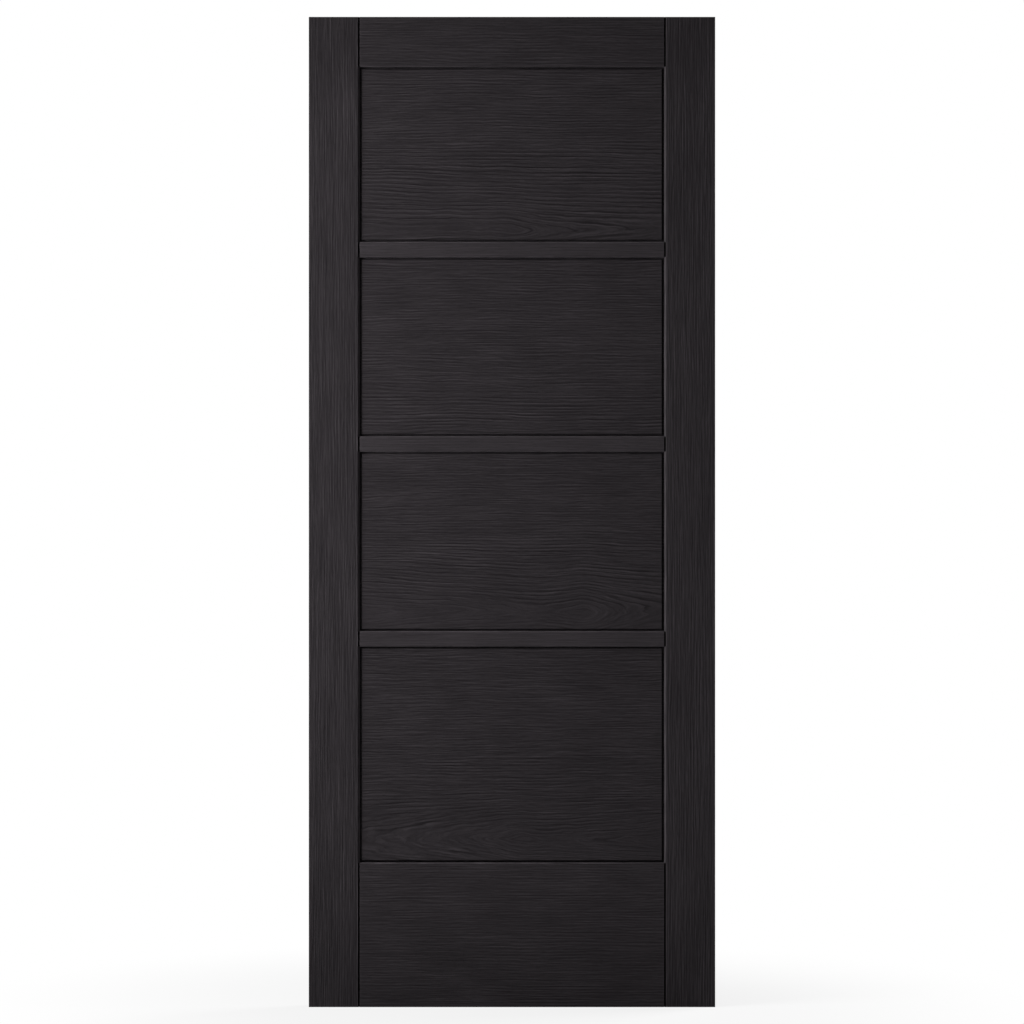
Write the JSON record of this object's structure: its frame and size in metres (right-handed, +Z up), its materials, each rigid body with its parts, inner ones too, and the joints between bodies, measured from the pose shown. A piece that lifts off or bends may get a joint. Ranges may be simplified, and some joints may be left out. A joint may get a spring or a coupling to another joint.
{
  "type": "panelled interior door leaf",
  "caption": "Flat rectangular interior door leaf in charcoal-stained oak: a dowelled stile-and-rail frame with slim mid rails and recessed panels, hung by one long edge to close a doorway.",
  "frame": {"origin": "middle of the leaf's bottom edge, halfway through its thickness", "axes": "+X across the leaf to the right as the pictured face is seen, +Y from that face to the other, +Z up"},
  "size_m": [0.813, 0.035, 1.981],
  "materials": {
    "stile_oak": "charcoal stain, satin lacquer",
    "rail_oak": "charcoal stain, satin lacquer",
    "mid_rail_oak": "charcoal stain, satin lacquer",
    "panel_oak": "charcoal stain, satin lacquer",
    "dowel_beech": "bare"
  },
  "bodies": {
    "root": {"left_stile": "stile_oak", "right_stile": "stile_oak", "top_rail": "rail_oak", "upper_mid_rail": "mid_rail_oak", "centre_mid_rail": "mid_rail_oak", "lower_mid_rail": "mid_rail_oak", "bottom_rail": "rail_oak", "top_panel": "panel_oak", "upper_panel": "panel_oak", "lower_panel": "panel_oak", "bottom_panel": "panel_oak", "top_rail_left_dowels": "dowel_beech", "upper_mid_rail_left_dowel": "dowel_beech", "centre_mid_rail_left_dowel": "dowel_beech", "lower_mid_rail_left_dowel": "dowel_beech", "bottom_rail_left_dowels": "dowel_beech", "top_rail_right_dowels": "dowel_beech", "upper_mid_rail_right_dowel": "dowel_beech", "centre_mid_rail_right_dowel": "dowel_beech", "lower_mid_rail_right_dowel": "dowel_beech", "bottom_rail_right_dowels": "dowel_beech"}
  },
  "joints": []
}
